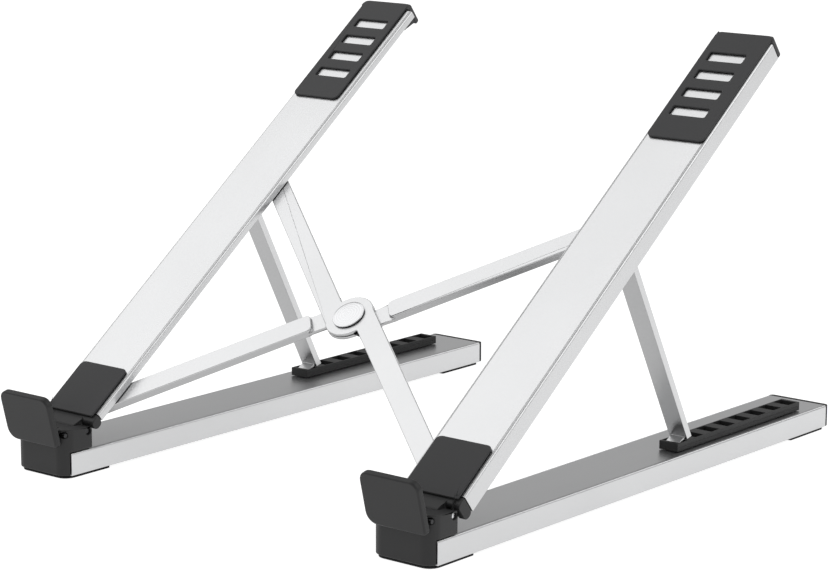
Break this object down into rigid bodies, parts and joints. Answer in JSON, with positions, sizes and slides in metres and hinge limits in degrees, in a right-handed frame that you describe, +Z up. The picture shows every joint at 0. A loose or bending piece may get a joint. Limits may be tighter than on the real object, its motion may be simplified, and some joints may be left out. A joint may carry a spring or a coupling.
{
  "type": "folding laptop stand",
  "caption": "Folding aluminium laptop stand: two base rails, tilting arms propped by struts in notched racks, a crossed brace that closes sideways, and front flaps.",
  "frame": {"origin": "on the table plane, under the middle of the whole stand's box", "axes": "+X to the user's right, +Y from the user towards the rear of the stand, +Z up"},
  "size_m": [0.1988, 0.2526, 0.1576],
  "materials": {
    "satin_aluminium": "fine blasted and anodised satin aluminium",
    "black_plastic": "fine textured moulded black plastic",
    "silicone": "matte dark grey silicone",
    "bright_metal": "turned bright steel"
  },
  "bodies": {
    "base_left": {"left_base_rail": "satin_aluminium", "left_front_block": "black_plastic", "left_block_screw": "bright_metal", "left_rear_cap": "black_plastic", "left_front_foot": "silicone", "left_rear_foot": "silicone", "left_notch_rack": "black_plastic", "left_arm_hinge_pin": "bright_metal", "left_flap_pin": "bright_metal"},
    "flap_left": {"left_flap": "black_plastic"},
    "arm_left": {"left_arm_channel": "satin_aluminium", "left_arm_end_plug": "black_plastic", "left_front_pad": "silicone", "left_rear_pad": "silicone", "left_brace_front_rivet": "bright_metal", "left_strut_bracket": "satin_aluminium", "left_strut_pin": "bright_metal"},
    "slider_left": {"left_brace_slider": "black_plastic", "left_brace_rear_rivet": "bright_metal"},
    "strut_left": {"left_strut": "satin_aluminium"},
    "base_right": {"right_base_rail": "satin_aluminium", "right_front_block": "black_plastic", "right_block_screw": "bright_metal", "right_rear_cap": "black_plastic", "right_front_foot": "silicone", "right_rear_foot": "silicone", "right_notch_rack": "black_plastic", "right_arm_hinge_pin": "bright_metal", "right_flap_pin": "bright_metal"},
    "flap_right": {"right_flap": "black_plastic"},
    "arm_right": {"right_arm_channel": "satin_aluminium", "right_arm_end_plug": "black_plastic", "right_front_pad": "silicone", "right_rear_pad": "silicone", "right_brace_front_rivet": "bright_metal", "right_strut_bracket": "satin_aluminium", "right_strut_pin": "bright_metal"},
    "slider_right": {"right_brace_slider": "black_plastic", "right_brace_rear_rivet": "bright_metal"},
    "strut_right": {"right_strut": "satin_aluminium"},
    "brace_lower": {"brace_lower_bar": "satin_aluminium"},
    "brace_upper": {"brace_upper_bar": "satin_aluminium", "brace_centre_rivet": "bright_metal", "brace_centre_washer": "bright_metal"}
  },
  "joints": [
    {"name": "arm_tilt", "type": "hinge", "parent": "base_left", "child": "arm_left", "pos_m": [-0.086, -0.10659, 0.0162], "axis": [1, 0, 0], "range_deg": [0, 36]},
    {"name": "spread", "type": "hinge", "parent": "arm_left", "child": "brace_lower", "pos_m": [-0.0808, -0.09479, 0.02497], "axis": [0, -0.5962, 0.8028], "range_deg": [0, 44.5]},
    {"name": "brace_cross", "type": "hinge", "parent": "brace_lower", "child": "brace_upper", "pos_m": [0, -0.04614, 0.0611], "axis": [0, -0.5962, 0.8028], "range_deg": [-89, 0]},
    {"name": "arm_right_pivot", "type": "hinge", "parent": "brace_upper", "child": "arm_right", "pos_m": [0.0808, -0.09479, 0.02497], "axis": [0, -0.5962, 0.8028], "range_deg": [0, 44.5]},
    {"name": "arm_tilt_right", "type": "hinge", "parent": "arm_right", "child": "base_right", "pos_m": [0.086, -0.10659, 0.0162], "axis": [1, 0, 0], "range_deg": [-36, 0]},
    {"name": "slider_left_pivot", "type": "hinge", "parent": "brace_upper", "child": "slider_left", "pos_m": [-0.0808, 0.00251, 0.09723], "axis": [0, -0.5962, 0.8028], "range_deg": [0, 44.5]},
    {"name": "slider_right_pivot", "type": "hinge", "parent": "brace_lower", "child": "slider_right", "pos_m": [0.0808, 0.00251, 0.09723], "axis": [0, -0.5962, 0.8028], "range_deg": [-44.5, 0]},
    {"name": "strut_left_fold", "type": "hinge", "parent": "arm_left", "child": "strut_left", "pos_m": [-0.0895, -0.00383, 0.08916], "axis": [1, 0, 0], "range_deg": [0, 98.64]},
    {"name": "strut_right_fold", "type": "hinge", "parent": "arm_right", "child": "strut_right", "pos_m": [0.0917, -0.00383, 0.08916], "axis": [1, 0, 0], "range_deg": [0, 98.64]},
    {"name": "flap_left_fold", "type": "hinge", "parent": "base_left", "child": "flap_left", "pos_m": [-0.086, -0.11729, 0.0165], "axis": [-1, 0, 0], "range_deg": [0, 55]},
    {"name": "flap_right_fold", "type": "hinge", "parent": "base_right", "child": "flap_right", "pos_m": [0.086, -0.11729, 0.0165], "axis": [-1, 0, 0], "range_deg": [0, 55]}
  ],
  "couplings": [
    {"joint": "brace_cross", "follows": "spread", "ratio": -2},
    {"joint": "arm_right_pivot", "follows": "spread", "ratio": 1},
    {"joint": "slider_left_pivot", "follows": "spread", "ratio": 1},
    {"joint": "slider_right_pivot", "follows": "spread", "ratio": -1},
    {"joint": "arm_tilt_right", "follows": "arm_tilt", "ratio": -1},
    {"joint": "strut_left_fold", "follows": "arm_tilt", "ratio": 2.74},
    {"joint": "strut_right_fold", "follows": "arm_tilt", "ratio": 2.74}
  ]
}
